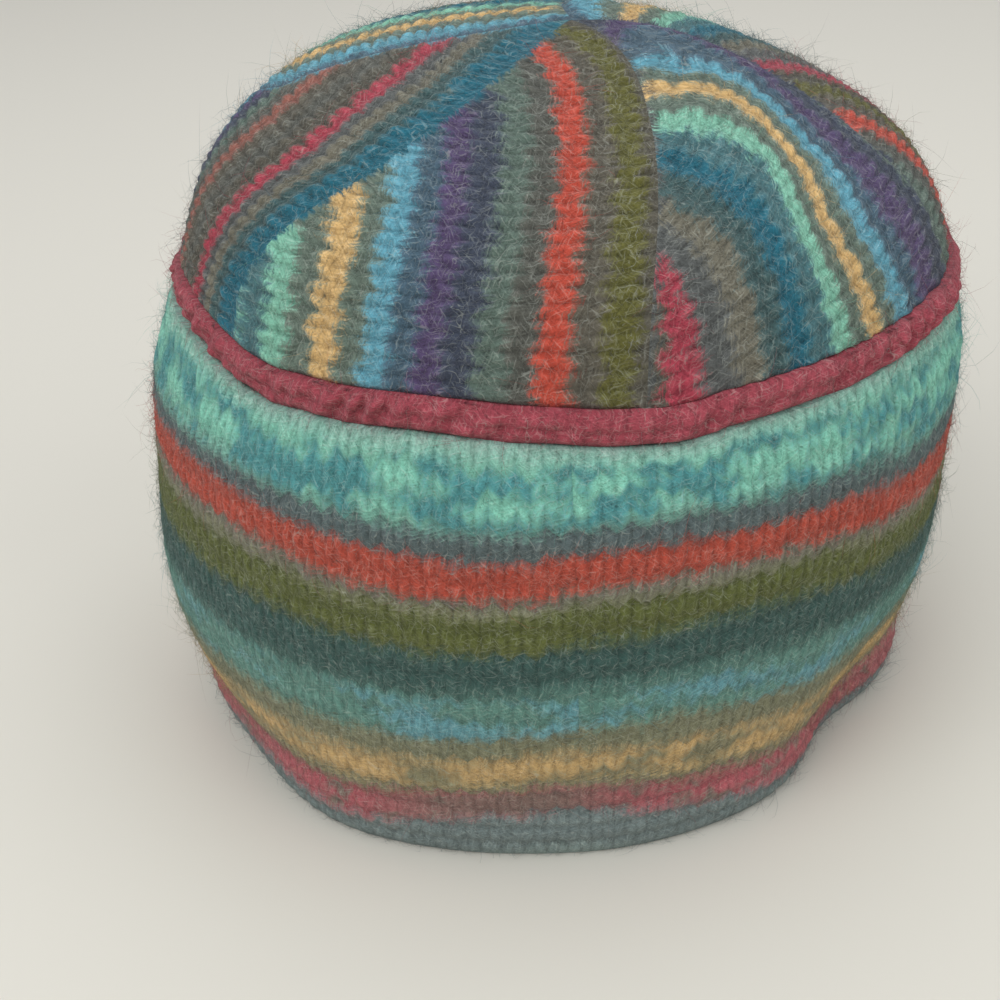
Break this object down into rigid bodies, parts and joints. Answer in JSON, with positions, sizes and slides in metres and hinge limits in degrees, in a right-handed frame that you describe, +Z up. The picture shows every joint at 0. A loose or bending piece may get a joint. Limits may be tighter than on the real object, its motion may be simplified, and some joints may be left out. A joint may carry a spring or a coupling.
{
  "type": "wool hat",
  "caption": "Brimless round knitted hat: striped side band on a rolled rim, a raised welt and a crown of swirled wedges, hollow for the head.",
  "frame": {"origin": "on the surface that the rim rests on, under the middle of the hat's overall width and depth", "axes": "+Z up, along the hat's height; the side that the picture shows faces -Y"},
  "size_m": [0.2227, 0.2179, 0.188],
  "materials": {
    "crown_wedge_1": "lightly felted striped wool knit",
    "crown_wedge_2": "lightly felted striped wool knit",
    "crown_wedge_3": "lightly felted striped wool knit",
    "crown_wedge_4": "lightly felted striped wool knit",
    "crown_wedge_5": "lightly felted striped wool knit",
    "welt": "lightly felted crimson wool knit",
    "side_band": "lightly felted wool knit in rounds of mint, slate, orange, olive, teal and gold",
    "rolled_rim": "lightly felted slate wool knit"
  },
  "bodies": {
    "root": {"crown_wedge_1": "crown_wedge_1", "crown_wedge_2": "crown_wedge_2", "crown_wedge_3": "crown_wedge_3", "crown_wedge_4": "crown_wedge_4", "crown_wedge_5": "crown_wedge_5", "welt": "welt", "side_band": "side_band", "rolled_rim": "rolled_rim"}
  },
  "joints": []
}
